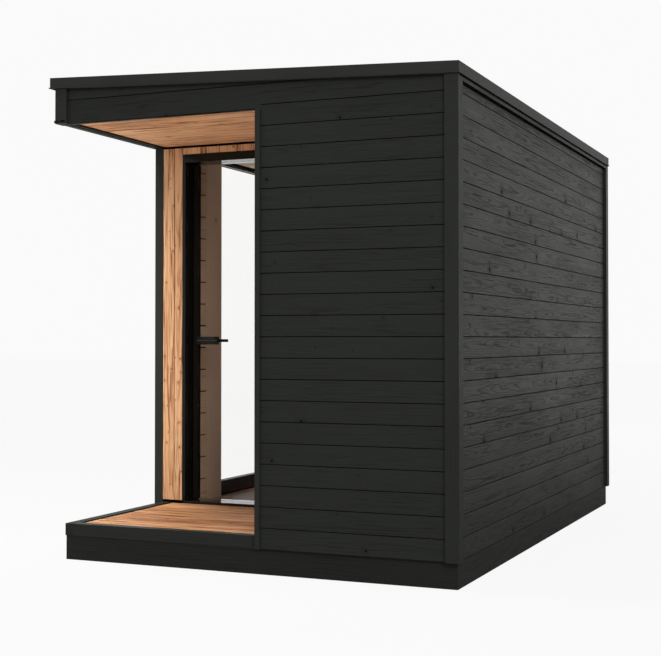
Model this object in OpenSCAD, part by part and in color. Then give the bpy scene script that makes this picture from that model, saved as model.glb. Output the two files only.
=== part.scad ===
// Sauna cabin with a corner porch, a glazed door and a side window under a mono-pitch roof.
// Millimetres, +Z up, front towards -Y, origin at the bottom centre of the whole cabin.

/* [Cabin] */
// Width from the left cladding face to the right cladding face
cabin_w = 2230; // [1900:10:3000]
// Depth from the front cladding face to the back cladding face
cabin_d = 3520; // [3000:10:4500]
// Thickness of the outer walls, cladding and lining included
wall_t = 140; // [100:5:200]
// Level of the room's floor above the ground
floor_z = 166; // [150:2:200]
// Depth of the room's ceiling below the roof's top at its high left edge
ceiling_drop = 247; // [230:1:400]
// Thickness of the ceiling panel
ceiling_t = 30; // [15:5:60]

/* [Base] */
// Height of the plinth under the cladding
plinth_h = 128; // [80:2:150]
// Thickness of the plinth boards
plinth_t = 45; // [28:1:70]
// Setback of the plinth behind the front and back cladding
plinth_setback = 17; // [5:1:60]
// Setback of the plinth behind the left cladding
plinth_setback_left = 41; // [5:1:80]
// Number of bearers under the floor
bearer_count = 3; // [2:1:5]
// Width of one bearer
bearer_w = 70; // [45:5:100]

/* [Porch] */
// Width of the porch from the left cladding face to its side wall
porch_w = 1177; // [1150:1:1500]
// Depth of the porch from the front cladding face to the door wall
porch_d = 1023; // [700:1:1500]
// Level of the top of the deck boards
deck_z = 188; // [180:1:220]
// Thickness of the deck boards
deck_t = 28; // [20:1:45]
// Gap between the deck boards and the edge trim
deck_gap = 6; // [2:1:12]
// Width of the deck's edge trim, seen from above
deck_trim_w = 56; // [40:1:100]
// Height that the deck's edge trim stands above the boards
deck_trim_rise = 4; // [0:1:15]
// Distance that the deck's edge trim stands proud of the plinth
deck_trim_proud = 4; // [1:1:12]
// Width of one deck joist
joist_w = 45; // [30:5:70]
// Number of deck joists
joist_count = 3; // [2:1:6]
// Height of the gap under the entry's wooden boards
entry_gap = 19; // [5:1:40]
// Thickness of the entry's wooden boards
entry_t = 18; // [12:1:30]
// Depth of the porch fascia's lower edge below the roof's top at its high left edge
fascia_drop = 250; // [220:1:400]
// Thickness of the porch fascia
fascia_t = 45; // [30:5:120]
// Height of the porch soffit above the fascia's lower edge
soffit_rise = 14; // [4:1:30]
// Thickness of the porch soffit
soffit_t = 18; // [12:1:30]

/* [Trim] */
// Thickness of the corner trim, standing proud of the cladding
trim_t = 18; // [10:1:30]
// Width of the corner trim's faces
trim_w = 70; // [50:1:120]
// Width of the narrow trim beside the porch
edge_trim_w = 28; // [20:1:50]
// Thickness of the narrow trim beside the porch
edge_trim_t = 9; // [5:1:18]
// Width of the trim at the porch's inner corner
porch_trim_w = 55; // [40:1:100]
// Height of the frieze strip that shows under the roof edge
frieze_show = 25; // [10:1:60]

/* [Roof] */
// Height of the roof's top at its high left edge
roof_high = 2585; // [2540:5:2800]
// Fall of the roof from its left edge to its right edge
roof_fall = 100; // [40:5:140]
// Height of the roof edge flashing's face
flashing_h = 58; // [40:1:100]
// Thickness of the flashing metal
flashing_t = 3; // [2:0.5:5]
// Width of the flashing's leg on the roof
flashing_leg_w = 90; // [50:5:150]
// Distance that the flashing stands proud of the corner trim
flashing_over = 4; // [3.5:0.5:40]
// The same distance at the high left edge
flashing_over_left = 32; // [4:1:80]
// Size of the drip hem at the flashing's lower edge
drip = 5; // [2:0.5:10]
// Thickness of the roof panel
roof_t = 54; // [40:1:56]
// Gap at the roof panel's sloping seats, on the walls and under the flashing
seat_gap = 0.3; // [0.2:0.1:0.8]

/* [Door] */
// Distance from the left cladding face to the door frame
door_x = 173; // [160:1:250]
// Width of the wooden boards between the door frame and the porch's side wall
door_side_w = 132; // [60:1:200]
// Height of the wooden header between the door frame and the porch fascia's level
header_h = 38; // [20:1:200]
// Thickness of the door frame's jambs
jamb_t = 19; // [16:1:60]
// Height of the door frame's head
head_h = 50; // [28:1:80]
// Depth of the door frame
door_frame_d = 150; // [150:1:200]
// Height of the sill above the deck
sill_h = 16; // [8:1:40]
// Distance from the door wall's face to the face of the leaf
leaf_setback = 94; // [70:1:94]
// Thickness of the door leaf
leaf_t = 40; // [34:1:42]
// Running gap around the door leaf
leaf_gap = 5; // [5:0.5:8]
// Width of the stops behind the leaf
stop_w = 10; // [8:1:11]
// Gap between the closed leaf and its stops
stop_gap = 6; // [5.5:0.5:8]
// Width of the leaf's stiles
stile_w = 28; // [26:1:100]
// Thickness of the door glass
door_glass_t = 10; // [6:1:24]
// Level of the door handle
handle_z = 1169; // [1050:1:1300]
// Distance from the leaf's edge to the handle's spindle
handle_inset = 57; // [54:1:70]
// Diameter of the lever handle's bar
lever_d = 18; // [12:1:20]
// Length of the lever handle's bar
lever_len = 134; // [90:1:160]
// Distance from the leaf to the middle of the lever handle's bar
lever_reach = 44; // [36:1:50]
// Diameter of the handle's spindle
spindle_d = 20; // [14:1:24]
// Distance from the leaf's edge to the lock case
case_inset = 23; // [20:1:36]
// Length of the lock case
case_w = 128; // [100:1:200]
// Height of the lock case
case_h = 48; // [36:1:80]
// Distance that the lock case stands proud of the leaf
case_proud = 8; // [3:1:12]
// Running gap around the spindle and the hinge pins
turn_gap = 0.1; // [0.05:0.05:0.3]
// Diameter of a hinge's knuckles
knuckle_d = 18; // [14:1:24]
// Length of one hinge knuckle
knuckle_len = 40; // [25:1:60]
// Diameter of a hinge's pin
hinge_pin_d = 8; // [5:0.5:10]
// Gap between a hinge's knuckles and the faces beside them
knuckle_gap = 0.5; // [0.3:0.1:2]
// Thickness of a hinge's plate
hinge_plate_t = 3; // [2:0.5:5]
// Number of door hinges
hinge_count = 3; // [2:1:4]

/* [Window] */
// Distance from the front cladding face to the side window
window_y = 1587; // [1300:1:2000]
// Width of the side window's opening
window_w = 1180; // [600:10:1400]
// Level of the side window's lower edge
window_z = 176; // [170:1:900]
// Height of the wall between the side window and the ceiling's level
window_head_h = 2; // [1:1:500]
// Width of the window frame's bars at the sides and top
window_bar = 22; // [18:1:80]
// Height of the window frame's bottom rail
window_rail_h = 84; // [40:1:160]
// Depth of the window frame
window_frame_d = 50; // [45:5:80]
// Setback of the window frame behind the left cladding
window_setback = 60; // [0:5:80]
// Thickness of the window's glass unit
window_glass_t = 28; // [6:1:40]

/* [Hidden] */
$fn = 48;

black = [0.09, 0.09, 0.095];
black_metal = [0.12, 0.12, 0.13];
spruce = [0.72, 0.5, 0.31];
dark_wood = [0.2, 0.15, 0.12];
steel = [0.6, 0.6, 0.6];
clear_glass = [0.75, 0.85, 0.88, 0.35];

// Overall box and the cladding planes, from the bottom centre of the whole cabin
over = trim_t + flashing_over;
over_left = trim_t + flashing_over_left;
x_max = (cabin_w + over + over_left) / 2 + drip;
x_right = x_max - drip - over;
x_left = x_right - cabin_w;
y_front = -cabin_d / 2;
y_back = cabin_d / 2;
x_face = x_max - drip;
y_face = y_back + over;

// Levels below the roof's high edge
fascia_z = roof_high - fascia_drop;
door_frame_z = fascia_z - header_h;
ceiling_z = roof_high - ceiling_drop;
window_top_z = ceiling_z - window_head_h;

// Inner planes of the room and the porch
x_room_left = x_left + wall_t;
x_room_right = x_right - wall_t;
x_porch = x_left + porch_w;
y_door = y_front + porch_d;
y_room_back = y_back - wall_t;
y_room_front = y_front + wall_t;
y_room_door = y_door + wall_t;

// Base
x_plinth = x_left + plinth_setback_left;
y_plinth = y_front + plinth_setback;
y_plinth_back = y_back - plinth_setback;

// Roof: height of its top over any x, and of the wall tops below the roof panel
function roof_z(x) = roof_high - roof_fall * (x + x_max) / (2 * x_max);
roof_depth = flashing_t + roof_t + 2 * seat_gap;
function wall_top(x) = roof_z(x) - roof_depth;

// Door
x_frame = x_left + door_x;
x_frame_end = x_porch - door_side_w;
x_opening = x_frame + jamb_t;
x_opening_end = x_frame_end - jamb_t;
z_opening = deck_z + sill_h;
z_opening_top = door_frame_z - head_h;
y_leaf = y_door + leaf_setback;
leaf_x = x_opening + leaf_gap;
leaf_end = x_opening_end - leaf_gap;
leaf_z = z_opening + leaf_gap;
leaf_top = z_opening_top - leaf_gap;
y_stop = y_leaf + leaf_t + stop_gap;
y_frame_back = y_door + door_frame_d;
hinge_x = x_opening_end - knuckle_d / 2 - knuckle_gap;
hinge_y = y_leaf - knuckle_d / 2 - knuckle_gap;
pin_top = knuckle_len / 2;
handle_x = leaf_x + handle_inset;
// Extra length that lets a cutting tool pass the faces it opens
cut = 1;

// Window
y_window = y_front + window_y;
y_window_end = y_window + window_w;
x_window = x_left + window_setback;

// A block between two corners
module block(low, high) {
  translate(low) cube(high - low);
}

// A prism with an outline in X and Z, between two depths
module prism(outline, y_low, y_high) {
  translate([0, y_high, 0]) rotate([90, 0, 0]) linear_extrude(y_high - y_low) polygon(outline);
}

// A wall between two X and two Y planes, from a level up to the sloping roof panel
module wall(x_low, x_high, y_low, y_high, z_low) {
  prism([[x_low, z_low], [x_high, z_low], [x_high, wall_top(x_high)], [x_low, wall_top(x_low)]],
        y_low, y_high);
}

// A sloping slab that follows the roof, between two depths below its top
module roof_slab(x_low, x_high, y_low, y_high, upper, lower) {
  prism([[x_low, roof_z(x_low) - lower], [x_high, roof_z(x_high) - lower],
         [x_high, roof_z(x_high) - upper], [x_low, roof_z(x_low) - upper]], y_low, y_high);
}

// A vertical round bar
module post(x, y, z_low, z_high, d) {
  translate([x, y, z_low]) cylinder(d = d, h = z_high - z_low);
}

module plinth_front() {
  color(black) block([x_plinth, y_plinth, 0], [x_right, y_plinth + plinth_t, plinth_h]);
}

module plinth_back() {
  color(black) block([x_plinth, y_plinth_back - plinth_t, 0], [x_right, y_plinth_back, plinth_h]);
}

module plinth_left() {
  color(black) block([x_plinth, y_plinth + plinth_t, 0],
                     [x_plinth + plinth_t, y_plinth_back - plinth_t, plinth_h]);
}

module plinth_right() {
  color(black) block([x_right - plinth_t, y_plinth + plinth_t, 0],
                     [x_right, y_plinth_back - plinth_t, plinth_h]);
}

module floor_bearers() {
  span = x_right - x_plinth - 2 * plinth_t;
  color(dark_wood) for (i = [1 : bearer_count])
    translate([x_plinth + plinth_t + span * i / (bearer_count + 1) - bearer_w / 2, 0, 0])
      block([0, y_plinth + plinth_t, 0], [bearer_w, y_plinth_back - plinth_t, plinth_h]);
}

module floor_panel() {
  color(dark_wood) translate([0, 0, plinth_h]) linear_extrude(floor_z - plinth_h)
    polygon([[x_room_left, y_room_door], [x_porch + wall_t, y_room_door], [x_porch + wall_t, y_room_front],
             [x_room_right, y_room_front], [x_room_right, y_room_back], [x_room_left, y_room_back]]);
}

deck_x = x_plinth - deck_trim_proud + deck_trim_w + deck_gap;
deck_y = y_plinth - deck_trim_proud + deck_trim_w + deck_gap;

module deck_joists() {
  color(dark_wood) for (i = [0 : joist_count - 1])
    translate([0, deck_y + i * (y_door - deck_y - joist_w) / (joist_count - 1), 0])
      block([deck_x, 0, plinth_h], [x_porch, joist_w, deck_z - deck_t]);
}

module deck_boards() {
  color(spruce) block([deck_x, deck_y, deck_z - deck_t], [x_porch, y_door, deck_z]);
}

module deck_trim_front() {
  color(black) block([x_plinth - deck_trim_proud + deck_trim_w, y_plinth - deck_trim_proud, plinth_h],
                     [x_porch, y_plinth - deck_trim_proud + deck_trim_w, deck_z + deck_trim_rise]);
}

module deck_trim_left() {
  color(black) block([x_plinth - deck_trim_proud, y_plinth - deck_trim_proud, plinth_h],
                     [x_plinth - deck_trim_proud + deck_trim_w, y_door, deck_z + deck_trim_rise]);
}

module front_wall() {
  color(black) wall(x_porch, x_room_right, y_front, y_room_front, plinth_h);
}

module right_wall() {
  color(black) wall(x_room_right, x_right, y_front, y_back, plinth_h);
}

module back_wall() {
  color(black) wall(x_room_left, x_room_right, y_room_back, y_back, plinth_h);
}

module porch_side_wall() {
  color(black) wall(x_porch, x_porch + wall_t, y_room_front, y_room_door, plinth_h);
}

module left_wall_front() {
  color(black) wall(x_left, x_room_left, y_door + entry_t, y_window, plinth_h);
}

module left_wall_back() {
  color(black) wall(x_left, x_room_left, y_window_end, y_back, plinth_h);
}

module left_wall_head() {
  color(black) wall(x_left, x_room_left, y_window, y_window_end, window_top_z);
}

module left_wall_sill() {
  color(black) block([x_left, y_window, plinth_h], [x_room_left, y_window_end, window_z]);
}

module door_wall_left() {
  color(black) wall(x_room_left, x_frame, y_door + entry_t, y_room_door, plinth_h);
}

module door_wall_right() {
  color(black) wall(x_frame_end, x_porch, y_door + entry_t, y_room_door, plinth_h);
}

module door_wall_head() {
  color(black) wall(x_frame, x_frame_end, y_door + entry_t, y_room_door, door_frame_z);
}

module porch_fascia_front() {
  color(black) wall(x_left, x_porch, y_front, y_front + fascia_t, fascia_z);
}

module porch_fascia_left() {
  color(black) wall(x_left, x_left + fascia_t, y_front + fascia_t, y_door, fascia_z);
}

module porch_soffit() {
  z = fascia_z + soffit_rise;
  color(spruce) block([x_left + fascia_t, y_front + fascia_t, z], [x_porch, y_door, z + soffit_t]);
}

module ceiling_panel() {
  color(spruce) translate([0, 0, ceiling_z]) linear_extrude(ceiling_t)
    polygon([[x_room_left, y_room_door], [x_porch + wall_t, y_room_door], [x_porch + wall_t, y_room_front],
             [x_room_right, y_room_front], [x_room_right, y_room_back], [x_room_left, y_room_back]]);
}

module roof_panel() {
  color(dark_wood) roof_slab(x_left - trim_t, x_right + trim_t, y_front - trim_t, y_back + trim_t,
                             flashing_t + seat_gap, roof_depth - seat_gap);
}

// Flashing across the front or back: upright face with a drip hem, and a leg on the roof
module flashing_cross(side) {
  y_out = side * y_face;
  y_in = y_out - side * flashing_t;
  y_leg = y_out - side * flashing_leg_w;
  y_hem = y_out + side * drip;
  x_leg = x_face - flashing_leg_w;
  roof_slab(-x_face, x_face, min(y_out, y_in), max(y_out, y_in), 0, flashing_h);
  roof_slab(-x_leg, x_leg, min(y_leg, y_in), max(y_leg, y_in), 0, flashing_t);
  roof_slab(-x_max, x_max, min(y_hem, y_out), max(y_hem, y_out), flashing_h - drip, flashing_h);
}

module roof_flashing_front() {
  color(black_metal) flashing_cross(-1);
}

module roof_flashing_back() {
  color(black_metal) flashing_cross(1);
}

// Flashing along the left or right side: upright face with a drip hem, and a leg on the roof
module flashing_along(side) {
  x_out = side * x_face;
  x_in = x_out - side * flashing_t;
  x_leg = x_out - side * flashing_leg_w;
  x_hem = x_out + side * drip;
  y_end = y_face - flashing_t;
  roof_slab(min(x_out, x_in), max(x_out, x_in), -y_end, y_end, 0, flashing_h);
  roof_slab(min(x_leg, x_in), max(x_leg, x_in), -y_end, y_end, 0, flashing_t);
  roof_slab(min(x_hem, x_out), max(x_hem, x_out), -y_face, y_face, flashing_h - drip, flashing_h);
}

module roof_flashing_left() {
  color(black_metal) flashing_along(-1);
}

module roof_flashing_right() {
  color(black_metal) flashing_along(1);
}

// Two boards that wrap an outer corner of the cladding; signs give the corner's outward directions
module corner_trim(x, y, x_sign, y_sign, face_w, side_w, z_low, face_t = trim_t) {
  x_out = x + x_sign * trim_t;
  y_out = y + y_sign * face_t;
  x_end = x_out - x_sign * face_w;
  y_end = y_out - y_sign * side_w;
  wall(min(x_out, x_end), max(x_out, x_end), min(y, y_out), max(y, y_out), z_low);
  wall(min(x, x_out), max(x, x_out), min(y_out, y_end), max(y_out, y_end), z_low);
}

module corner_trims() {
  color(black) {
    corner_trim(x_right, y_front, 1, -1, trim_w, trim_w, plinth_h);
    corner_trim(x_right, y_back, 1, 1, trim_w, trim_w, plinth_h);
    corner_trim(x_left, y_back, -1, 1, trim_w, trim_w, plinth_h);
    corner_trim(x_left, y_front, -1, -1, trim_w, trim_w, fascia_z);
    corner_trim(x_left, y_door + entry_t, -1, -1, porch_trim_w, porch_trim_w, plinth_h, entry_t);
    block([x_porch, y_front - edge_trim_t, plinth_h], [x_porch + edge_trim_w, y_front, fascia_z]);
  }
}

module frieze_trims() {
  color(black) {
    roof_slab(x_right, x_right + trim_t, y_front - trim_t + trim_w, y_back + trim_t - trim_w,
              roof_depth, flashing_h + frieze_show);
    roof_slab(x_left - trim_t, x_left, y_front - trim_t + trim_w, y_door,
              roof_depth, flashing_h + frieze_show);
    roof_slab(x_left - trim_t, x_left, y_door + porch_trim_w, y_back + trim_t - trim_w,
              roof_depth, flashing_h + frieze_show);
  }
}

module entry_boards() {
  color(spruce) {
    block([x_left - trim_t + porch_trim_w, y_door, deck_z + entry_gap],
          [x_frame, y_door + entry_t, fascia_z]);
    block([x_frame_end, y_door, deck_z + entry_gap], [x_porch, y_door + entry_t, fascia_z]);
  }
}

module entry_header() {
  color(spruce) block([x_frame, y_door, door_frame_z], [x_frame_end, y_door + entry_t, fascia_z]);
}

// One side of the door frame, with a stop behind the leaf; into points towards the opening
module door_jamb(x, into) {
  x_in = x + into * jamb_t;
  x_stop = x_in + into * stop_w;
  block([min(x, x_in), y_door, deck_z], [max(x, x_in), y_frame_back, door_frame_z]);
  block([min(x_in, x_stop), y_stop, z_opening], [max(x_in, x_stop), y_frame_back, z_opening_top]);
}

module door_jambs() {
  color(black) {
    door_jamb(x_frame, 1);
    door_jamb(x_frame_end, -1);
  }
}

module door_frame_head() {
  color(black) block([x_opening, y_door, z_opening_top], [x_opening_end, y_frame_back, door_frame_z]);
}

// Threshold between the jambs, on a beam that carries the door frame
module door_sill() {
  color(black_metal) {
    block([x_opening, y_door, deck_z], [x_opening_end, y_frame_back, z_opening]);
    block([x_frame, y_door, plinth_h], [x_frame_end, y_room_door, deck_z]);
  }
}

function hinge_z(i) = leaf_z + (leaf_top - leaf_z) * (2 * i + 1) / (2 * hinge_count);

// Lower knuckles with their pins and plates, fixed to the right jamb
module hinge_frame_leaves() {
  color(steel) for (i = [0 : hinge_count - 1]) {
    z = hinge_z(i);
    post(hinge_x, hinge_y, z - knuckle_len, z - knuckle_gap, knuckle_d);
    post(hinge_x, hinge_y, z - knuckle_len, z + pin_top, hinge_pin_d);
    block([hinge_x, hinge_y - hinge_plate_t / 2, z - knuckle_len],
          [x_opening_end, hinge_y + hinge_plate_t / 2, z - knuckle_gap]);
  }
}

// Upper knuckles, bored for the pins, fixed to the leaf
module hinge_door_leaves() {
  color(steel) for (i = [0 : hinge_count - 1]) {
    z = hinge_z(i);
    difference() {
      union() {
        post(hinge_x, hinge_y, z, z + knuckle_len, knuckle_d);
        block([hinge_x - knuckle_d / 2, hinge_y, z], [hinge_x, y_leaf, z + knuckle_len]);
      }
      post(hinge_x, hinge_y, z - cut, z + pin_top + knuckle_gap, hinge_pin_d + 2 * turn_gap);
    }
  }
}

// Outer form of the lock case, which sits in a notch of the leaf and its glass
module case_block() {
  block([leaf_x + case_inset, y_leaf - case_proud, handle_z - case_h / 2],
        [leaf_x + case_inset + case_w, y_leaf + leaf_t + case_proud, handle_z + case_h / 2]);
}

// Two stiles that hold the glass between them
module door_leaf() {
  color(black) difference() {
    for (x = [leaf_x, leaf_end - stile_w])
      block([x, y_leaf, leaf_z], [x + stile_w, y_leaf + leaf_t, leaf_top]);
    case_block();
  }
}

module door_glass() {
  y = y_leaf + (leaf_t - door_glass_t) / 2;
  color(clear_glass) difference() {
    block([leaf_x + stile_w, y, leaf_z], [leaf_end - stile_w, y + door_glass_t, leaf_top]);
    case_block();
  }
}

// Lock case around the spindle's bore
module lock_case() {
  color(steel) difference() {
    case_block();
    translate([handle_x, y_leaf - case_proud - cut, handle_z]) rotate([-90, 0, 0])
      cylinder(d = spindle_d + 2 * turn_gap, h = leaf_t + 2 * case_proud + 2 * cut);
  }
}

// Spindle through the lock case with a lever on each side
module lever_handle() {
  y_out = y_leaf - lever_reach;
  y_in = y_leaf + leaf_t + lever_reach;
  color(steel) {
    translate([handle_x, y_out, handle_z]) rotate([-90, 0, 0])
      cylinder(d = spindle_d, h = y_in - y_out);
    for (y = [y_out, y_in]) translate([handle_x, y, handle_z]) {
      rotate([0, 90, 0]) cylinder(d = lever_d, h = lever_len);
      sphere(d = spindle_d);
    }
  }
}

module window_frame() {
  color(black) difference() {
    block([x_window, y_window, window_z], [x_window + window_frame_d, y_window_end, window_top_z]);
    block([x_window - cut, y_window + window_bar, window_z + window_rail_h],
          [x_window + window_frame_d + cut, y_window_end - window_bar, window_top_z - window_bar]);
  }
}

module window_glass() {
  x = x_window + (window_frame_d - window_glass_t) / 2;
  color(clear_glass) block([x, y_window + window_bar, window_z + window_rail_h],
                           [x + window_glass_t, y_window_end - window_bar, window_top_z - window_bar]);
}

plinth_front();
plinth_back();
plinth_left();
plinth_right();
floor_bearers();
floor_panel();
deck_joists();
deck_boards();
deck_trim_front();
deck_trim_left();
front_wall();
right_wall();
back_wall();
porch_side_wall();
left_wall_front();
left_wall_back();
left_wall_head();
left_wall_sill();
door_wall_left();
door_wall_right();
door_wall_head();
porch_fascia_front();
porch_fascia_left();
porch_soffit();
ceiling_panel();
roof_panel();
roof_flashing_front();
roof_flashing_back();
roof_flashing_left();
roof_flashing_right();
corner_trims();
frieze_trims();
entry_boards();
entry_header();
door_jambs();
door_frame_head();
door_sill();
hinge_frame_leaves();
door_leaf();
door_glass();
lock_case();
hinge_door_leaves();
lever_handle();
window_frame();
window_glass();
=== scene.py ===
"""Looks for the sauna cabin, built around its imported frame. Metres, +Z up, front towards -Y."""
import math
import random

import bmesh
import bpy
from mathutils import Matrix, Vector


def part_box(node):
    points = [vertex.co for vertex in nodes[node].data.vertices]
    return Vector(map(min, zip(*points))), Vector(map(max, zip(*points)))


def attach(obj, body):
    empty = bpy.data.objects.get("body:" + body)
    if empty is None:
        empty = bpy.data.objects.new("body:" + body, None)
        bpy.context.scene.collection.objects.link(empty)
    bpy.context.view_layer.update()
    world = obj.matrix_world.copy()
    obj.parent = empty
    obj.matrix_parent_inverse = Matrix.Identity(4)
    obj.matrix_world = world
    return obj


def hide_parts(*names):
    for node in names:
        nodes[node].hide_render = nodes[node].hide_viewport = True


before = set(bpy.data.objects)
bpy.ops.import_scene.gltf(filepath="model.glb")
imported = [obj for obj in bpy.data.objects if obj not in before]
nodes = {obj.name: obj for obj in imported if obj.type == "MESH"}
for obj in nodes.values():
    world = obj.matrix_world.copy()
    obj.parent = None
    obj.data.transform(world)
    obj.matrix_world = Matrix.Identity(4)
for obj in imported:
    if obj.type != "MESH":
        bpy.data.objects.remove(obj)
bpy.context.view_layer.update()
scene = bpy.context.scene

X, Y, Z = Vector((1, 0, 0)), Vector((0, 1, 0)), Vector((0, 0, 1))


def low(node):
    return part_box(node)[0]


def high(node):
    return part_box(node)[1]


# Planes of the cabin, read from the frame
X_LEFT, X_RIGHT = low("left_wall_front").x, high("right_wall").x
Y_FRONT, Y_BACK = low("front_wall").y, high("back_wall").y
X_PORCH, X_NOOK = low("porch_side_wall").x, high("porch_side_wall").x
Y_ENTRY, Y_DOOR_WALL = low("entry_boards").y, low("door_wall_left").y
X_ROOM_LEFT, X_ROOM_RIGHT = high("left_wall_front").x, low("right_wall").x
Y_ROOM_FRONT, Y_ROOM_BACK = high("front_wall").y, low("back_wall").y
Y_ROOM_DOOR = high("door_wall_left").y
Z_CLAD, Z_FLOOR, Z_CEILING = low("front_wall").z, high("floor_panel").z, low("ceiling_panel").z
Z_FASCIA, Z_ENTRY = low("porch_fascia_front").z, low("entry_boards").z
Y_FASCIA, X_FASCIA = high("porch_fascia_front").y, high("porch_fascia_left").x
X_FRAME, X_FRAME_END = low("door_jambs").x, high("door_jambs").x
Z_FRAME = high("door_jambs").z
Y_WINDOW, Y_WINDOW_END = low("window_frame").y, high("window_frame").y
Z_WINDOW, Z_WINDOW_TOP = low("window_frame").z, high("window_frame").z
X_PANE_OUT, X_PANE = low("window_frame").x, high("window_frame").x
ROOF_SLOPE = (high("front_wall").z - high("right_wall").z) / (X_ROOM_RIGHT - X_PORCH)


def wall_top(x):
    """Height of the wall tops under the sloping roof panel."""
    return high("front_wall").z - ROOF_SLOPE * (x - X_PORCH)


# Boards: distance from seam to seam, width of the seam, thickness
CLAD_PITCH, CLAD_GROOVE, CLAD_T = 0.106, 0.0036, 0.021
LINING_PITCH, LINING_GROOVE, LINING_T = 0.137, 0.008, 0.014
DECK_PITCH, DECK_GAP = 0.095, 0.004
SOFFIT_PITCH, SOFFIT_GAP = 0.120, 0.003
FLOOR_PITCH, FLOOR_GAP = 0.118, 0.003
ENTRY_GAP, ENTRY_FIRST = 0.004, 0.0795
HEADER_BOARDS, SIDE_BOARDS = 7, 8
SIDE_TUCK = 0.02        # how far the porch's side boards reach above the fascia's lower edge
DECK_END = 0.008        # gap between the deck's left end and its curb
CASING_W, CASING_T = 0.194, 0.016
SILL_T = 0.02           # board at the window's foot, on the side of the room
EDGE_TRIM_W = 0.028
FRIEZE_GAP = 0.005
RIM_T, LIP, LIP_Z = 0.013, 0.007, 0.005
# Height and thickness of the black strip of painted shadow under the flashing
SHADOW_STRIP_H, SHADOW_STRIP_T = 0.007, 0.0006
CORE_INSET = 0.012      # how far the dark core stays behind the boards' faces
CORE_DROP = 0.01        # how far it stays below the wall tops
SETBACK = 0.002         # how far a hidden edge stays back from a face that shows
SLIVER = 0.0005         # clearance that keeps two faces apart

# A board's place in its log: range along it, to its side, from its axis, and lean for each metre
LOG_LENGTH, LOG_SIDE, LOG_DEPTH = 60, 0.03, (0.02, 0.09)
LEAN_ACROSS, LEAN_OUT = 0.006, 0.016


class Boards:
    """Boards in one mesh. Each has its own grain: distances along, across and into an imagined log."""

    def __init__(self, seed):
        self.bm = bmesh.new()
        self.grain = self.bm.loops.layers.float_vector.new("grain")
        self.rng = random.Random(seed)

    def log(self):
        """A random place of a board in its log: its offset, and how the log leans across it and out of it."""
        r = self.rng
        shift = Vector((r.uniform(0, LOG_LENGTH), r.uniform(-LOG_SIDE, LOG_SIDE), r.uniform(*LOG_DEPTH)))
        lean_across, lean_out = r.uniform(-LEAN_ACROSS, LEAN_ACROSS), r.uniform(-LEAN_OUT, LEAN_OUT)
        r.random()      # a spare draw, which keeps the ones after it as they were
        return shift, lean_across, lean_out

    def add(self, start, along, across, length, width, thick, edge=0.0015, cup=0.0003, log=None):
        """A board from its lower back corner. Its face is on the side of along x across."""
        bm, r = self.bm, self.rng
        out = along.cross(across)
        shift, lean_across, lean_out = log or self.log()
        t0, t1 = thick - r.random() * cup, thick - r.random() * cup
        soft = 0.3 * edge
        outline = [(0, 0), (width, 0), (width, t1 - edge), (width - soft, t1 - soft), (width - edge, t1),
                   (edge, t0), (soft, t0 - soft), (0, t0 - edge)]
        ends = [[bm.verts.new(start + along * s + across * a + out * d) for a, d in outline]
                for s in (0, length)]
        faces = [bm.faces.new(ends[0]), bm.faces.new(ends[1][::-1])]
        for i in range(len(outline)):
            j = (i + 1) % len(outline)
            faces.append(bm.faces.new((ends[0][j], ends[0][i], ends[1][i], ends[1][j])))
        for face in faces:
            for loop in face.loops:
                rel = loop.vert.co - start
                s, a, d = rel.dot(along), rel.dot(across) - width / 2, rel.dot(out)
                loop[self.grain] = shift + Vector((s, a + lean_across * s, d + lean_out * s))

    def rows(self, start, along, across, length, height, pitch, groove, thick, first=0.0, **more):
        """A field of boards laid one after the other across, the first seam at first. A last strip that is
        hardly wider than a groove is left out."""
        at, seam = 0.0, first or pitch
        while at < height - 3 * groove:
            end = min(seam, height)
            corner = start + across * (at + groove / 2)
            self.add(corner, along, across, length, end - at - groove, thick, **more)
            at, seam = end, seam + pitch

    def cut_roof(self):
        """Cuts the boards along the roof's slope and closes their ends."""
        bm = self.bm
        made = bmesh.ops.bisect_plane(bm, geom=bm.verts[:] + bm.edges[:] + bm.faces[:],
                                      plane_co=Vector((X_PORCH, 0, wall_top(X_PORCH) - SLIVER)),
                                      plane_no=Vector((ROOF_SLOPE, 0, 1)).normalized(), clear_outer=True)
        edges = [e for e in made["geom_cut"] if isinstance(e, bmesh.types.BMEdge)]
        bmesh.ops.holes_fill(bm, edges=edges)

    def box(self, lo, hi):
        """A plain block."""
        made = bmesh.ops.create_cube(self.bm, size=1.0)
        size, mid = Vector(hi) - Vector(lo), (Vector(hi) + Vector(lo)) / 2
        bmesh.ops.transform(self.bm, verts=made["verts"],
                            matrix=Matrix.Translation(mid) @ Matrix.Diagonal((*size, 1)))

    def piece(self, name, material, slot, *replaced):
        """Puts the boards in the scene as a piece of the cabin."""
        bmesh.ops.recalc_face_normals(self.bm, faces=self.bm.faces[:])
        mesh = bpy.data.meshes.new(name)
        self.bm.to_mesh(mesh)
        self.bm.free()
        mesh.materials.append(material)
        piece = bpy.data.objects.new(name, mesh)
        scene.collection.objects.link(piece)
        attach(piece, "cabin")
        if replaced:
            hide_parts(*replaced)


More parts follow.
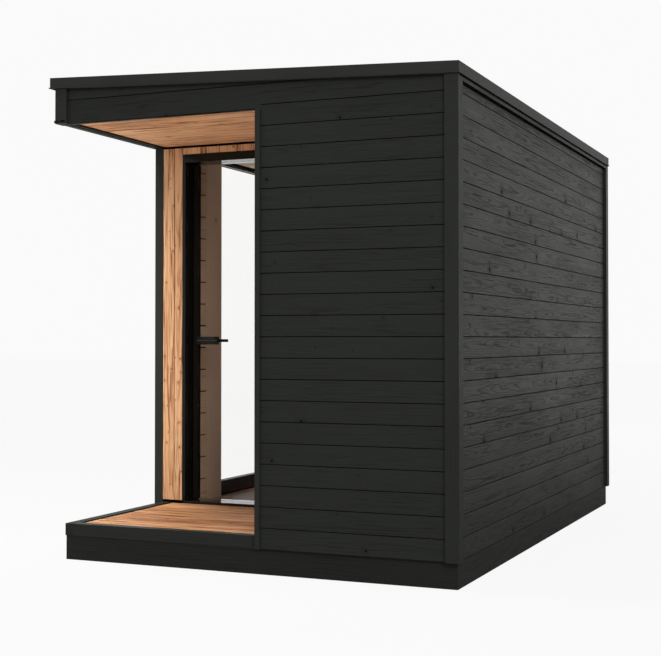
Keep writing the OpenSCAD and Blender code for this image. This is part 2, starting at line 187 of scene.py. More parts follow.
class Nodes:
    """Short calls for the node tree of a material, or of the world."""

    def __init__(self, owner, shader="Principled BSDF", output="Material Output"):
        owner.use_nodes = True
        self.owner = owner
        self.tree = owner.node_tree
        self.shader = self.tree.nodes[shader]
        self.output = self.tree.nodes[output]

    def new(self, kind, **settings):
        node = self.tree.nodes.new("ShaderNode" + kind)
        for key, value in settings.items():
            setattr(node, key, value)
        return node

    def feed(self, socket, value):
        if isinstance(value, bpy.types.NodeSocket):
            self.tree.links.new(value, socket)
        elif value is not None:
            socket.default_value = value

    def place(self):
        return self.new("TexCoord").outputs["Object"]

    def parts(self, vector):
        node = self.new("SeparateXYZ")
        self.feed(node.inputs[0], vector)
        return node.outputs

    def pair(self, a, b):
        node = self.new("CombineXYZ")
        self.feed(node.inputs[0], a)
        self.feed(node.inputs[1], b)
        return node.outputs[0]

    def math(self, operation, a, b=None, c=None, clamp=False):
        node = self.new("Math", operation=operation, use_clamp=clamp)
        for socket, value in zip(node.inputs, (a, b, c)):
            self.feed(socket, value)
        return node.outputs[0]

    def sum(self, first, *rest):
        for term in rest:
            first = self.math("ADD", first, term)
        return first

    def times(self, a, b):
        return self.math("MULTIPLY", a, b)

    def swing(self, noise, reach):
        """A noise of 0 to 1, moved to both sides of zero."""
        return self.times(self.math("SUBTRACT", noise, 0.5), reach)

    def vector(self, operation, a, b=None):
        node = self.new("VectorMath", operation=operation)
        self.feed(node.inputs[0], a)
        self.feed(node.inputs[1], b)
        return node.outputs["Value" if operation == "LENGTH" else "Vector"]

    def noise(self, vector, scale, detail=3.0, rough=0.55):
        node = self.new("TexNoise")
        self.feed(node.inputs["Vector"], vector)
        self.feed(node.inputs["Scale"], scale)
        self.feed(node.inputs["Detail"], detail)
        self.feed(node.inputs["Roughness"], rough)
        return node.outputs[0]

    def drawn_out(self, grain, along, across, detail, rough=0.55):
        """Noise drawn out along the grain, with so many changes to the metre along and across it."""
        return self.noise(self.vector("MULTIPLY", grain, (along, across, across)), 1.0, detail, rough)

    def ramp(self, factor, *stops):
        node = self.new("ValToRGB")
        self.feed(node.inputs[0], factor)
        elements = node.color_ramp.elements
        while len(elements) < len(stops):
            elements.new(0.5)
        for element, (at, value) in zip(elements, stops):
            element.position = at
            element.color = (*value, 1) if isinstance(value, tuple) else (value, value, value, 1)
        return node.outputs[0]

    def mix(self, factor, a, b):
        node = self.new("Mix", data_type="RGBA")
        self.feed(node.inputs[0], factor)
        for socket, value in ((node.inputs[6], a), (node.inputs[7], b)):
            self.feed(socket, (*value, 1) if isinstance(value, tuple) else value)
        return node.outputs[2]

    def bump(self, height, strength, distance):
        node = self.new("Bump")
        self.feed(node.inputs["Strength"], strength)
        self.feed(node.inputs["Distance"], distance)
        self.feed(node.inputs["Height"], height)
        self.feed(self.shader.inputs["Normal"], node.outputs[0])

    def set(self, **values):
        """Feeds the tree's own shader."""
        for key, value in values.items():
            self.feed(self.shader.inputs[key.replace("_", " ")], value)

    def seen_rays(self):
        """Rays from the camera or through glass, and rays off gloss."""
        path = self.new("LightPath").outputs
        return self.math("MAXIMUM", path["Is Camera Ray"], path["Is Transmission Ray"]), path["Is Glossy Ray"]

    def show_instead(self, share, other):
        """Shows another shader in place of the tree's own, by a share of 0 to 1."""
        both = self.new("MixShader")
        for socket, value in zip(both.inputs, (share, self.shader.outputs[0], other.outputs[0])):
            self.feed(socket, value)
        self.feed(self.output.inputs["Surface"], both.outputs[0])


# The log that a carried-over node is cut from: the turn of its axis, and its place
LOG_TURN = {"X": (0, 0, 0), "Y": (0, 0, -math.pi / 2), "Z": (0, math.pi / 2, 0)}
LOG_PLACE = (3.1, 0.43, 0.27)
KNOT_REACH = 4.5        # how many radii around a knot the grain bends and darkens
TINY = 0.0001           # keeps a division from failing where there is no knot


def grain_of(n, axis):
    """Distances along, across and into a log: a board's own, or along an axis on a carried-over node."""
    if axis is None:
        return n.new("Attribute", attribute_name="grain").outputs["Vector"]
    log = n.new("Mapping")
    n.feed(log.inputs["Vector"], n.place())
    n.feed(log.inputs["Rotation"], LOG_TURN[axis])
    n.feed(log.inputs["Location"], LOG_PLACE)
    return log.outputs[0]


def knot_field(n, grain, along, across, share, cells_to_metre, size):
    """Knots at scattered points of the board's face: how near one is, its core and its radius."""
    cells = n.new("TexVoronoi", voronoi_dimensions="2D")
    n.feed(cells.inputs["Vector"], n.pair(along, across))
    n.feed(cells.inputs["Scale"], cells_to_metre)
    ragged = n.swing(n.noise(grain, 260.0, 2.0), 0.4 * size)
    distance = n.sum(n.math("DIVIDE", cells.outputs["Distance"], cells_to_metre), ragged)
    chance = n.new("SeparateColor")
    n.feed(chance.inputs[0], cells.outputs["Color"])
    radius = n.times(n.math("GREATER_THAN", chance.outputs[0], 1 - share),
                     n.math("MULTIPLY_ADD", chance.outputs[1], 0.7 * size, 0.3 * size))
    rim = n.sum(radius, TINY)
    near = n.math("SUBTRACT", 1.0, n.math("DIVIDE", distance, n.times(rim, KNOT_REACH)), clamp=True)
    core = n.math("SUBTRACT", 1.0, n.math("DIVIDE", distance, rim), clamp=True)
    return near, core, radius


def wood(name, light, mid, dark, knot, rough, bump, axis=None, ring=0.0045, ring_show=0.6, fibre_show=0.5,
         streak_show=0.6, streak_fine=130.0, knot_size=0.011, knots=0.3, knot_cells=4.2, tone_show=0.7,
         rough_vary=0.3, specular=0.5, gloss_tint=(1.0, 1.0, 1.0)):
    """Softwood with growth rings around a log, fibres and dark streaks along it, and knots."""
    n = Nodes(bpy.data.materials.new(name))
    grain = grain_of(n, axis)
    along, across, into = n.parts(grain)
    near, core, radius = knot_field(n, grain, along, across, knots, knot_cells, knot_size)
    # Rings: distance from the log's axis, wavy along it and bulging at knots
    wave = n.swing(n.drawn_out(grain, 2.2, 9.0, detail=2.0), 0.02)
    bulge = n.times(n.times(near, near), n.times(radius, 1.4))
    reach = n.sum(n.vector("LENGTH", n.pair(across, into)), wave, bulge)
    rings = n.math("FRACT", n.math("DIVIDE", reach, ring))
    late = n.ramp(rings, (0.0, 0.15), (0.55, 0.25), (0.9, 1.0), (1.0, 0.1))
    # Fibres, dark streaks in patches and slow changes of tone along the board
    fibre = n.drawn_out(grain, 9.0, 420.0, detail=4.0, rough=0.6)
    lines = n.drawn_out(grain, 4.0, streak_fine, detail=3.0, rough=0.5)
    patch = n.drawn_out(grain, 1.6, 16.0, detail=2.0, rough=0.5)
    streak = n.times(n.ramp(lines, (0.48, 0.0), (0.6, 1.0)), n.ramp(patch, (0.38, 0.0), (0.58, 1.0)))
    tone = n.drawn_out(grain, 0.9, 3.0, detail=1.0)
    shade = n.sum(n.times(late, ring_show), n.times(streak, streak_show), n.swing(fibre, fibre_show),
                  n.swing(tone, tone_show))
    colour = n.ramp(shade, (0.0, light), (0.4, mid), (1.0, dark))
    colour = n.mix(n.times(near, 0.45), colour, dark)
    colour = n.mix(n.ramp(core, (0.0, 0.0), (0.35, 1.0)), colour, knot)
    n.set(Base_Color=colour, Specular_IOR_Level=specular, Specular_Tint=(*gloss_tint, 1))
    # Late wood, streaks and knots are duller than the rest, and lie lower
    dull = n.sum(n.times(streak, 0.35), n.times(late, 0.5), n.swing(tone, 0.5), n.times(near, 0.4),
                 n.swing(fibre, 1.2), n.times(n.ramp(core, (0.0, 0.0), (0.25, 1.0)), 1.2))
    n.set(Roughness=n.math("MULTIPLY_ADD", dull, rough_vary, rough - 0.25 * rough_vary, clamp=True))
    sunk = n.sum(n.times(late, 0.5), n.times(streak, 0.4), n.times(core, 0.8))
    n.bump(n.math("SUBTRACT", n.times(fibre, 0.6), sunk), bump, 0.0012)
    return n.owner


def scaled(colour, share):
    return tuple(c * share for c in colour)


def coating(name, base, vary, rough, metallic=0.0, scale=60.0, bump=0.05, specular=0.5):
    """Painted, coated or bare metal: cloudy tone, a fine texture and uneven gloss."""
    n = Nodes(bpy.data.materials.new(name))
    where = n.place()
    cloud = n.ramp(n.noise(where, 2.3), (0.3, scaled(base, 1 - vary)), (0.7, scaled(base, 1 + vary)))
    n.set(Base_Color=cloud, Metallic=metallic, Specular_IOR_Level=specular)
    n.set(Roughness=n.sum(n.swing(n.noise(where, scale, 2.0), 0.12), rough))
    n.bump(n.noise(where, scale * 12, 2.0), bump, 0.0004)
    return n.owner


def membrane(name, base, lap):
    """Mineral roofing sheet in lapped strips: granules, cloudy weathering and a raised dark line at a lap."""
    n = Nodes(bpy.data.materials.new(name))
    where = n.place()
    wander = n.times(n.noise(where, 3.0, 2.0), 0.01)
    strip = n.math("FRACT", n.math("DIVIDE", n.sum(n.parts(where)[1], wander), lap))
    line = n.ramp(strip, (0.0, 1.0), (0.012, 0.0), (0.988, 0.0), (1.0, 1.0))
    step = n.ramp(strip, (0.0, 0.0), (0.01, 1.0), (0.99, 0.8), (1.0, 0.0))
    granules = n.noise(where, 700.0, 2.0)
    cloud = n.ramp(n.noise(where, 1.6, 4.0), (0.3, scaled(base, 0.8)), (0.7, scaled(base, 1.2)))
    grit = n.mix(n.times(granules, 0.6), cloud, scaled(base, 0.45))
    n.set(Base_Color=n.mix(n.times(line, 0.7), grit, scaled(base, 0.25)))
    n.set(Roughness=0.85, Specular_IOR_Level=0.2)
    n.bump(n.sum(n.times(granules, 0.3), step), 0.6, 0.002)
    return n.owner


def clear_glass(name, tint):
    """Clear glass that lets lamps through, with a faint film that breaks up its gloss."""
    n = Nodes(bpy.data.materials.new(name))
    film = n.noise(n.place(), 1.7)
    n.set(Base_Color=(*tint, 1), Transmission_Weight=1.0, IOR=1.1)
    n.set(Roughness=n.times(n.math("SUBTRACT", film, 0.55, clamp=True), 0.03))
    through = n.new("BsdfTransparent")
    n.feed(through.inputs["Color"], (*tint, 1))
    n.show_instead(n.new("LightPath").outputs["Is Shadow Ray"], through)
    return n.owner


# Black-stained boards and trims
black = dict(light=(0.0240, 0.0256, 0.0222), mid=(0.0212, 0.0226, 0.0196), dark=(0.0120, 0.0127, 0.0110),
             knot=(0.005, 0.005, 0.0045), rough=0.42, bump=0.7, ring_show=0.35, fibre_show=0.3,
             streak_show=0.4, knot_size=0.008, knots=0.45, rough_vary=0.32, specular=0.035,
             gloss_tint=(0.92, 1.0, 0.915))
black_trim = {**black, "knots": 0.08, "streak_show": 0.2}
black_base = {**black, "knots": 0.2, "light": (0.0200, 0.0212, 0.0186), "mid": (0.0172, 0.0182, 0.0158)}
BLACK_BOARDS = wood("black_boards", **black)
BLACK_KNOTTY = wood("black_boards_knotty", **{**black, "knot_size": 0.014, "knots": 0.4, "bump": 1.0,
                                              "ring_show": 0.5, "specular": 0.0435})
BLACK_TRIM_X = wood("black_trim_X", axis="X", **black_trim)
BLACK_TRIM_Y = wood("black_trim_Y", axis="Y", **black_trim)
BLACK_TRIM_Z = wood("black_trim_Z", axis="Z", **{**black_trim, "specular": 0.05})
BLACK_CURB = wood("black_curb", axis="Y", **{**black_trim, "specular": 0.008})
BLACK_BASE_X = wood("black_base_X", axis="X", **black_base)
BLACK_BASE_Y = wood("black_base_Y", axis="Y", **black_base)

# Natural boards of the porch
natural = dict(light=(0.64, 0.376, 0.202), mid=(0.53, 0.277, 0.134), dark=(0.18, 0.054, 0.018),
               knot=(0.06, 0.018, 0.0065), rough=0.55, bump=0.3, ring=0.008, ring_show=0.5, fibre_show=0.8,
               streak_show=0.7, streak_fine=230.0, knot_size=0.007, tone_show=1.0, knots=0.3,
               knot_cells=7.0, specular=0.25)
NATURAL = wood("natural_boards", **natural)
# Copies for the deck and the soffit: the deck's is darker and the soffit's paler than the other natural
# boards, partly a tone of their own and partly painted shade on the deck, which faces the light, and painted
# light on the soffit, which faces away from it
NATURAL_DECK = wood("natural_deck", **{**natural, "light": (0.53, 0.292, 0.146), "mid": (0.365, 0.168, 0.076),
                                       "dark": (0.11, 0.032, 0.011), "specular": 0.03, "streak_show": 1.0,
                                       "tone_show": 1.1})
NATURAL_SOFFIT = wood("natural_soffit", **{**natural, "light": (0.85, 0.492, 0.27),
                                           "mid": (0.66, 0.338, 0.166), "specular": 0.04,
                                           "streak_show": 1.0})
NATURAL_STREAKED = wood("natural_streaked", **{**natural, "streak_show": 1.0, "fibre_show": 1.2,
                                               "knot_size": 0.0055, "knots": 0.5, "knot_cells": 13.0})

# Wood of the room and the hidden framing
LINING = wood("lining_boards", light=(0.60, 0.47, 0.35), mid=(0.50, 0.385, 0.275), dark=(0.30, 0.21, 0.14),
              knot=(0.10, 0.055, 0.03), rough=0.55, bump=0.25, ring_show=0.4, streak_show=0.3, knots=0.3,
              specular=0.2)
CASING = wood("casing_boards", light=(0.60, 0.49, 0.385), mid=(0.53, 0.425, 0.33), dark=(0.36, 0.27, 0.20),
              knot=(0.20, 0.12, 0.07), rough=0.5, bump=0.2, ring_show=0.3, streak_show=0.1, knots=0.05,
              specular=0.2)
FLOOR_WOOD = wood("floor_boards", light=(0.22, 0.125, 0.085), mid=(0.16, 0.085, 0.057),
                  dark=(0.08, 0.04, 0.025), knot=(0.03, 0.015, 0.01), rough=0.5, bump=0.25, specular=0.3)
framing = dict(light=(0.5, 0.34, 0.2), mid=(0.4, 0.26, 0.15), dark=(0.26, 0.15, 0.08),
               knot=(0.1, 0.05, 0.025), rough=0.65, bump=0.4)
FRAMING_X = wood("framing_X", axis="X", **framing)
FRAMING_Y = wood("framing_Y", axis="Y", **framing)

# Metal, paint, roofing and glass
CORE = coating("board_backing", (0.004, 0.004, 0.004), vary=0.3, rough=0.9, specular=0.05)
ROOF_METAL = coating("roof_metal", (0.0272, 0.0284, 0.0254), vary=0.1, rough=0.4, scale=25, bump=0.03,
                     specular=0.03)
ROOF_FELT = membrane("roof_membrane", (0.06, 0.061, 0.062), lap=0.9)
FRAME_PAINT = coating("frame_paint", (0.0070, 0.0075, 0.0064), vary=0.15, rough=0.1, scale=70, bump=0.01,
                      specular=0.15)
LEAF_PAINT = coating("leaf_paint", (0.0150, 0.0155, 0.0135), vary=0.15, rough=0.15, scale=70, bump=0.01,
                     specular=0.15)
SILL_METAL = coating("sill_metal", (0.008, 0.008, 0.0078), vary=0.15, rough=0.1, scale=50, bump=0.01,
                     specular=0.2)
HINGE_METAL = coating("hinge_metal", (0.03, 0.03, 0.03), vary=0.2, rough=0.4, metallic=0.5, scale=90)
CASE_METAL = coating("case_metal", (0.022, 0.0215, 0.019), vary=0.2, rough=0.3, scale=80, bump=0.03,
                     specular=0.1)
LEVER_METAL = coating("lever_metal", (0.004, 0.004, 0.004), vary=0.15, rough=0.22, scale=80, bump=0.02,
                      specular=0.4)
GLASS = clear_glass("clear_glass", (0.998, 0.999, 0.993))


def clad_rows(boards, start, along, length, top, **more):
    boards.rows(start, along, Z, length, top - start.z, CLAD_PITCH, CLAD_GROOVE, CLAD_T, **more)


# Front cladding: the rows that reach above fascia_from run on over the porch as its fascia
front = Boards(11)
fascia_end = X_PORCH + EDGE_TRIM_W
fascia_from = Z_FASCIA + CLAD_PITCH / 2
level = Z_CLAD
while level < wall_top(X_LEFT):
    upper = level + CLAD_PITCH
    shift, *leans = front.log()
    if upper < fascia_from:
        spans = [(fascia_end, X_RIGHT, level)]
    elif level < fascia_from:
        spans = [(X_LEFT, fascia_end, Z_FASCIA - CLAD_GROOVE / 2), (fascia_end, X_RIGHT, level)]
    else:
        spans = [(X_LEFT, X_RIGHT, level)]
    for x0, x1, z0 in spans:
        moved = shift + Vector((x0, (z0 - level) / 2, 0))
        front.add(Vector((x0, Y_FRONT + CLAD_T, z0 + CLAD_GROOVE / 2)), X, Z, x1 - x0,
                  upper - z0 - CLAD_GROOVE, CLAD_T, cup=0.0, log=(moved, *leans))
    level = upper
front.cut_roof()
front.piece("front_cladding", BLACK_BOARDS, "black_cladding", "front_wall", "porch_fascia_front")

right = Boards(12)
clad_rows(right, Vector((X_RIGHT - CLAD_T, Y_FRONT, Z_CLAD)), Y, Y_BACK - Y_FRONT,
          low("frieze_trims").z - FRIEZE_GAP)
right.piece("right_cladding", BLACK_KNOTTY, "black_cladding", "right_wall")

back = Boards(13)
clad_rows(back, Vector((X_RIGHT, Y_BACK - CLAD_T, Z_CLAD)), -X, X_RIGHT - X_LEFT, wall_top(X_LEFT))
back.cut_roof()
back.piece("back_cladding", BLACK_BOARDS, "black_cladding", "back_wall")

# Left cladding, broken by the window
left = Boards(14)
left_top = wall_top(X_LEFT)
level = Z_CLAD
while level < left_top - CLAD_GROOVE:
    upper = min(level + CLAD_PITCH, left_top)
    spans = [(Y_DOOR_WALL, Y_BACK)]
    if upper > Z_WINDOW and level < Z_WINDOW_TOP:
        spans = [(Y_DOOR_WALL, Y_WINDOW), (Y_WINDOW_END, Y_BACK)]
    for y0, y1 in spans:
        left.add(Vector((X_LEFT + CLAD_T, y1, level + CLAD_GROOVE / 2)), -Y, Z, y1 - y0,
                 upper - level - CLAD_GROOVE, CLAD_T)
    level = upper
left.piece("left_cladding", BLACK_KNOTTY, "black_cladding", "left_wall_front", "left_wall_back",
           "left_wall_head", "left_wall_sill")

# Left fascia, with its seams level with the front's
fascia = Boards(15)
seam = Z_CLAD + math.ceil((fascia_from - Z_CLAD) / CLAD_PITCH) * CLAD_PITCH
clad_rows(fascia, Vector((X_LEFT + CLAD_T, Y_DOOR_WALL, Z_FASCIA)), -Y, Y_DOOR_WALL - Y_FRONT - CLAD_T,
          left_top, first=seam - Z_FASCIA)
fascia.piece("porch_fascia_left_boards", BLACK_BOARDS, "black_cladding", "porch_fascia_left")

# Boards that close the porch fascia from below, the left one with a lip beyond the corner trim
rims = Boards(16)
trim_lo = low("corner_trims")
rims.box((X_LEFT + CLAD_T, Y_FRONT + SETBACK, Z_FASCIA), (X_PORCH, Y_FASCIA, Z_FASCIA + RIM_T))
rims.box((trim_lo.x - LIP, trim_lo.y, Z_FASCIA + LIP_Z), (X_FASCIA, Y_ENTRY, Z_FASCIA + LIP_Z + RIM_T))
rims.piece("fascia_rims", BLACK_TRIM_Y, "black_trim")

# Black strip under the flashing, a painted shadow: it stands in for the shade line between the frieze and the
# flashing
shadow_strip = Boards(17)
flashing_z = low("roof_flashing_right").z
frieze_x = high("frieze_trims").x
shadow_strip.box((frieze_x - SETBACK, Y_FRONT, flashing_z - SHADOW_STRIP_H),
          (frieze_x + SHADOW_STRIP_T, Y_BACK, flashing_z + 2 * SLIVER))
shadow_strip.piece("flashing_shadow_strip", CORE, "black_trim")

# Hidden core behind the boards, seen only as the dark of their grooves
core = Boards(1)
inset = CORE_INSET
core_left, core_right = X_LEFT + inset, X_RIGHT - inset
core_front, core_back = Y_FRONT + inset, Y_BACK - inset
core_foot, core_top = Z_CLAD + inset, wall_top(X_RIGHT) - CORE_DROP
room_left, room_right = X_ROOM_LEFT - inset, X_ROOM_RIGHT + inset
room_front, room_back, room_door = Y_ROOM_FRONT - inset, Y_ROOM_BACK + inset, Y_ROOM_DOOR - inset
window, window_end, window_top = Y_WINDOW - inset, Y_WINDOW_END + inset, Z_WINDOW_TOP + inset
porch, fascia_foot = X_PORCH + inset, Z_FASCIA + inset
for lo, hi in (
        # Front, right and back walls
        ((porch, core_front, core_foot), (X_ROOM_RIGHT, room_front, core_top)),
        ((room_right, core_front, Z_CLAD + SETBACK), (core_right, core_back, core_top)),
        ((X_ROOM_LEFT, room_back, core_foot), (X_ROOM_RIGHT, core_back, core_top)),
        # Left wall before, behind, under and over the window
        ((core_left, Y_DOOR_WALL, core_foot), (room_left, window, core_top)),
        ((core_left, window_end, core_foot), (room_left, core_back, core_top)),
        ((core_left, window, core_foot), (X_PANE, window_end, Z_WINDOW - 2 * SLIVER)),
        ((core_left, window, window_top), (room_left, window_end, core_top)),
        # Porch side wall, and its foot below the boards
        ((porch, Y_ROOM_FRONT, core_foot), (X_NOOK - inset, room_door, core_top)),
        ((X_PORCH + SLIVER, Y_FRONT + SLIVER, Z_CLAD + SLIVER), (porch + inset, Y_DOOR_WALL, Z_ENTRY)),
        # Door wall beside and over the door
        ((room_left, Y_DOOR_WALL, core_foot), (X_FRAME, room_door, core_top)),
        ((X_FRAME_END, Y_DOOR_WALL, core_foot), (porch, room_door, core_top)),
        ((X_FRAME, Y_DOOR_WALL, Z_FRAME), (X_FRAME_END, room_door, core_top)),
        # Porch fascias
        ((core_left, core_front, fascia_foot), (X_PORCH, Y_FASCIA, core_top)),
        ((core_left, core_front, fascia_foot), (X_FASCIA, Y_DOOR_WALL, core_top))):
    core.box(lo, hi)
core.piece("wall_core", CORE, "black_cladding", "door_wall_left", "door_wall_right", "door_wall_head")

# Porch: deck and soffit
deck = Boards(28)
deck_lo, deck_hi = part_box("deck_boards")
deck.rows(Vector((deck_lo.x + DECK_END, deck_lo.y, deck_lo.z)), X, Y, deck_hi.x - deck_lo.x - DECK_END,
          deck_hi.y - deck_lo.y, DECK_PITCH, DECK_GAP, deck_hi.z - deck_lo.z, edge=0.003)
deck.piece("deck_planks", NATURAL_DECK, "natural_wood", "deck_boards")

soffit = Boards(22)
soffit_lo, soffit_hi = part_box("porch_soffit")
soffit.rows(Vector((soffit_hi.x, soffit_lo.y, soffit_hi.z)), -X, Y, soffit_hi.x - soffit_lo.x,
            soffit_hi.y - soffit_lo.y, SOFFIT_PITCH, SOFFIT_GAP, soffit_hi.z - soffit_lo.z)
soffit.piece("soffit_boards", NATURAL_SOFFIT, "natural_wood", "porch_soffit")

# Porch: upright boards beside and over the door, and on the side wall
entry_lo, entry_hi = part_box("entry_boards")
header_lo, header_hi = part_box("entry_header")


def upright(boards, lo, hi, *seams):
    """Upright boards that face the front, between seams along X, as thick as those beside the door."""
    for x0, x1 in zip(seams, seams[1:]):
        boards.add(Vector((x1 - ENTRY_GAP / 2, hi.y, lo.z)), Z, -X, hi.z - lo.z, x1 - x0 - ENTRY_GAP,
                   entry_hi.y - entry_lo.y)


entry = Boards(23)
upright(entry, entry_lo, entry_hi, entry_lo.x, entry_lo.x + ENTRY_FIRST, X_FRAME)
upright(entry, entry_lo, entry_hi, X_FRAME_END, (X_FRAME_END + entry_hi.x) / 2, entry_hi.x)
entry.piece("entry_planks", NATURAL_STREAKED, "natural_wood", "entry_boards")

header = Boards(24)
header_step = (header_hi.x - header_lo.x) / HEADER_BOARDS
upright(header, header_lo, header_hi, *[header_lo.x + i * header_step for i in range(HEADER_BOARDS + 1)])
header.piece("header_planks", NATURAL_STREAKED, "natural_wood", "entry_header")

side = Boards(25)
side_length = Y_ENTRY - Y_FRONT
side.rows(Vector((X_PORCH + CLAD_T, Y_FRONT, Z_ENTRY)), Z, Y, Z_FASCIA + SIDE_TUCK - Z_ENTRY, side_length,
          side_length / SIDE_BOARDS, ENTRY_GAP, CLAD_T)
side.piece("porch_side_planks", NATURAL, "natural_wood", "porch_side_wall")

# Room lining: four plain walls, then row by row the walls that the window and the door break
lining = Boards(31)
thick, pitch, gap = LINING_T, LINING_PITCH, LINING_GROOVE
height = Z_CEILING - Z_FLOOR
for corner, along, length in (
        ((X_NOOK - thick, Y_ROOM_FRONT), Y, Y_ROOM_DOOR - Y_ROOM_FRONT),
        ((X_ROOM_RIGHT, Y_ROOM_FRONT - thick), -X, X_ROOM_RIGHT - X_NOOK),
        ((X_ROOM_RIGHT + thick, Y_ROOM_BACK), -Y, Y_ROOM_BACK - Y_ROOM_FRONT),
        ((X_ROOM_LEFT, Y_ROOM_BACK + thick), X, X_ROOM_RIGHT - X_ROOM_LEFT)):
    lining.rows(Vector((*corner, Z_FLOOR)), along, Z, length, height, pitch, gap, thick)
level = Z_FLOOR
while level < Z_CEILING - gap:
    upper = min(level + pitch, Z_CEILING)
    for y0, y1 in ((Y_ROOM_DOOR, Y_WINDOW - CASING_W), (Y_WINDOW_END + CASING_W, Y_ROOM_BACK)):
        lining.add(Vector((X_ROOM_LEFT - thick, y0, level + gap / 2)), Y, Z, y1 - y0,
                   upper - level - gap, thick)
    spans = [(X_ROOM_LEFT, X_FRAME, level), (X_FRAME_END, X_NOOK, level)]
    if level > Z_FRAME - pitch:
        spans.append((X_FRAME, X_FRAME_END, max(level, Z_FRAME)))
    for x0, x1, z0 in spans:
        lining.add(Vector((x1, Y_ROOM_DOOR - thick, z0 + gap / 2)), -X, Z, x1 - x0, upper - z0 - gap, thick)
    level = upper
lining.piece("room_lining", LINING, "natural_wood")

# Window: pale casing boards and cheeks in the room, a black reveal outside
casing = Boards(32)
casing_x = X_ROOM_LEFT - CASING_T
for y0, cheek in ((Y_WINDOW - CASING_W, Y_WINDOW - inset), (Y_WINDOW_END, Y_WINDOW_END)):
    casing.add(Vector((casing_x, y0 + CASING_W, Z_FLOOR)), Z, -Y, height, CASING_W, CASING_T)
    casing.box((X_PANE, cheek, Z_FLOOR), (casing_x, cheek + inset, Z_WINDOW_TOP))
casing.piece("window_casing", CASING, "natural_wood")

reveal = Boards(35)
for y0 in (Y_WINDOW - inset, Y_WINDOW_END):
    reveal.box((X_LEFT + CLAD_T, y0, Z_WINDOW - inset), (X_PANE_OUT, y0 + inset, Z_WINDOW_TOP + inset))
for z0 in (Z_WINDOW - inset, Z_WINDOW_TOP):
    reveal.box((X_LEFT + 2 * SLIVER, Y_WINDOW, z0), (X_PANE_OUT, Y_WINDOW_END, z0 + inset))
reveal.piece("window_reveal", BLACK_TRIM_Y, "black_trim")

# Ceiling and floor, each in two fields: the room, and the nook beside the porch
room_length, room_depth = X_ROOM_RIGHT - X_ROOM_LEFT, Y_ROOM_BACK - Y_ROOM_DOOR
nook_length, nook_depth = X_ROOM_RIGHT - X_NOOK, Y_ROOM_DOOR - Y_ROOM_FRONT
ceiling = Boards(33)
for y0, length, depth in ((Y_ROOM_DOOR, room_length, room_depth), (Y_ROOM_FRONT, nook_length, nook_depth)):
    ceiling.rows(Vector((X_ROOM_RIGHT, y0, Z_CEILING + thick)), -X, Y, length, depth, pitch, gap, thick)
ceiling.piece("ceiling_boards", LINING, "natural_wood", "ceiling_panel")

floor_boards = Boards(34)
floor_z = low("floor_panel").z
for x0, y0, length, depth in ((X_ROOM_LEFT, Y_ROOM_DOOR, room_length, room_depth),
                              (X_NOOK, Y_ROOM_FRONT, nook_length, nook_depth)):
    floor_boards.rows(Vector((x0, y0, floor_z)), X, Y, length, depth, FLOOR_PITCH, FLOOR_GAP,
                      Z_FLOOR - floor_z)
floor_boards.add(Vector((X_PANE, Y_WINDOW_END, Z_FLOOR - SILL_T)), -Y, X, Y_WINDOW_END - Y_WINDOW,
                 X_ROOM_LEFT - X_PANE, SILL_T)
floor_boards.piece("floor_boards", FLOOR_WOOD, "floor_wood", "floor_panel")


def dress(material, slot, *names, edge=0.0015):
    """Gives carried-over nodes their material and a small rounded edge."""
    for name in names:
        piece = nodes[name]
        piece.data.materials.clear()
        piece.data.materials.append(material)
        if edge:
            bevel = piece.modifiers.new("edge", "BEVEL")
            bevel.width, bevel.segments, bevel.limit_method = edge, 2, "ANGLE"


dress(BLACK_BASE_X, "black_trim", "plinth_front", "plinth_back")
dress(BLACK_BASE_Y, "black_trim", "plinth_left", "plinth_right")
dress(BLACK_TRIM_X, "black_trim", "deck_trim_front")
dress(BLACK_TRIM_Y, "black_trim", "frieze_trims")
dress(BLACK_CURB, "black_trim", "deck_trim_left")
dress(BLACK_TRIM_Z, "black_trim", "corner_trims")
dress(FRAMING_Y, "structure_wood", "floor_bearers")
dress(FRAMING_X, "structure_wood", "deck_joists")
dress(ROOF_FELT, "structure_wood", "roof_panel")
dress(ROOF_METAL, "roof_metal", "roof_flashing_front", "roof_flashing_back", "roof_flashing_left",
      "roof_flashing_right", edge=0.0008)
dress(FRAME_PAINT, "frame_paint", "door_jambs", "door_frame_head", "window_frame", edge=0.001)
dress(LEAF_PAINT, "frame_paint", "door_leaf", edge=0.001)
dress(SILL_METAL, "sill_metal", "door_sill", edge=0.001)
dress(HINGE_METAL, "hinge_steel", "hinge_frame_leaves", "hinge_door_leaves", edge=0.0005)
dress(LEVER_METAL, "handle_steel", "lever_handle", edge=0.003)
dress(CASE_METAL, "handle_steel", "lock_case", edge=0.0012)
dress(GLASS, "glass", "door_glass", "window_glass", edge=None)

# Camera at the photograph's view, for an image of 661 x 656
IMAGE_W = 661
FOCAL_PX, SHIFT_PX = 1290.94, -13.0
YAW, PITCH = math.radians(23.2554), math.radians(1.119)
CAMERA_RIGHT, CAMERA_FRONT, CAMERA_HEIGHT = 1.8492, 5.7980, 1.1713      # from the walls' front right corner
camera_data = bpy.data.cameras.new("camera")
camera_data.sensor_width = 36.0
camera_data.sensor_fit = "HORIZONTAL"
camera_data.lens = FOCAL_PX / IMAGE_W * camera_data.sensor_width
camera_data.shift_y = SHIFT_PX / IMAGE_W
camera_data.clip_end = 200
camera = bpy.data.objects.new("camera", camera_data)
scene.collection.objects.link(camera)
camera.location = (X_RIGHT + CAMERA_RIGHT, Y_FRONT - CAMERA_FRONT, CAMERA_HEIGHT)
look = Vector((-math.sin(YAW) * math.cos(PITCH), math.cos(YAW) * math.cos(PITCH), math.sin(PITCH)))
camera.rotation_euler = look.to_track_quat("-Z", "Y").to_euler()
scene.camera = camera

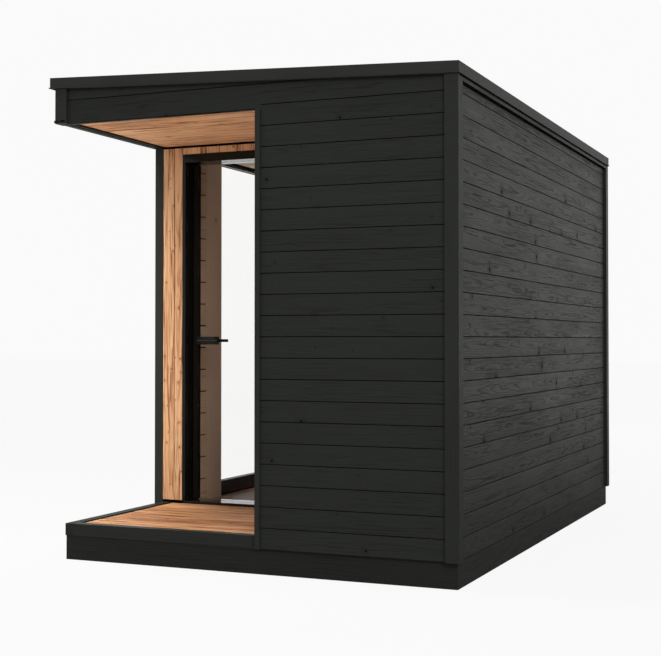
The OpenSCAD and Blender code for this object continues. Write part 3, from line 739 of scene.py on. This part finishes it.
# Studio: near white to the camera, in gloss and through glass, and plain light to the object
BACKDROP, WORLD_LIGHT = 0.956, 0.73
FLOOR_COLOUR = (0.29, 0.29, 0.29, 1)
FLOOR_REACH, FLOOR_SINK = 60.0, 0.0005
FLOOR_NEAR, FLOOR_FAR = 4.0, 20.0       # distances between which the floor turns into the backdrop
GLOW_NEAR, GLOW_MIRRORED, GLOW_FAR = 0.92, 0.0, 0.93    # share of white: near, near but in gloss, far

world = bpy.data.worlds.new("studio")
scene.world = world
n = Nodes(world, "Background", "World Output")
n.set(Color=(1, 1, 1, 1), Strength=WORLD_LIGHT)
seen = n.new("Background")
n.feed(seen.inputs["Color"], (BACKDROP, BACKDROP, BACKDROP, 1))
n.feed(seen.inputs["Strength"], 1.0)
n.show_instead(n.math("MAXIMUM", *n.seen_rays()), seen)

# The floor keeps its own shading and the object's shadow near the object, and whitens further out
floor_mesh = bpy.data.meshes.new("studio_floor")
floor_corners = [(-1, -1), (1, -1), (1, 1), (-1, 1)]
floor_mesh.from_pydata([(x * FLOOR_REACH, y * FLOOR_REACH, 0) for x, y in floor_corners], [], [(0, 1, 2, 3)])
floor = bpy.data.objects.new("studio_floor", floor_mesh)
scene.collection.objects.link(floor)
floor.location.z = -FLOOR_SINK
n = Nodes(bpy.data.materials.new("studio_floor"))
n.set(Base_Color=FLOOR_COLOUR, Roughness=0.9, Specular_IOR_Level=0.0)
distance = n.vector("LENGTH", n.new("NewGeometry").outputs["Position"])
shares = []
for ray, near_share in zip(n.seen_rays(), (GLOW_NEAR, GLOW_MIRRORED)):
    fade = n.new("MapRange")
    n.feed(fade.inputs["Value"], distance)
    n.feed(fade.inputs["From Min"], FLOOR_NEAR)
    n.feed(fade.inputs["From Max"], FLOOR_FAR)
    n.feed(fade.inputs["To Min"], near_share)
    n.feed(fade.inputs["To Max"], GLOW_FAR)
    shares.append(n.times(ray, fade.outputs[0]))
glow = n.new("Emission")
n.feed(glow.inputs["Color"], (1, 1, 1, 1))
n.show_instead(n.math("MAXIMUM", *shares), glow)
floor_mesh.materials.append(n.owner)


def lamp(name, kind, at, power):
    """A lamp that lights the object without showing in the picture or in its gloss."""
    made = bpy.data.objects.new(name, bpy.data.lights.new(name, kind))
    scene.collection.objects.link(made)
    made.visible_glossy = made.visible_camera = False
    made.data.energy = power
    made.location = at
    return made


def panel(name, at, aim, size, power):
    """A square lamp turned to a point."""
    made = lamp(name, "AREA", at, power)
    made.data.size = size
    made.rotation_euler = (Vector(aim) - Vector(at)).to_track_quat("-Z", "Y").to_euler()


def globe(name, at, radius, power):
    lamp(name, "POINT", at, power).data.shadow_soft_size = radius


# Even light on the front and the back, and stronger light at the porch's open corner
panel("key_right", at=(7.0, -9.0, 6.0), aim=(0.3, -1.2, 1.2), size=4.0, power=515)
panel("fill_back", at=(-2.2, 10.0, 4.5), aim=(-0.3, 0.0, 1.2), size=4.0, power=260)
panel("top_left", at=(-1.55, -1.9, 5.5), aim=(-1.1, -1.6, 0.2), size=1.0, power=290)
globe("fill_left", at=(-2.0, -1.75, 1.2), radius=0.25, power=54)

scene.view_settings.view_transform = "Standard"
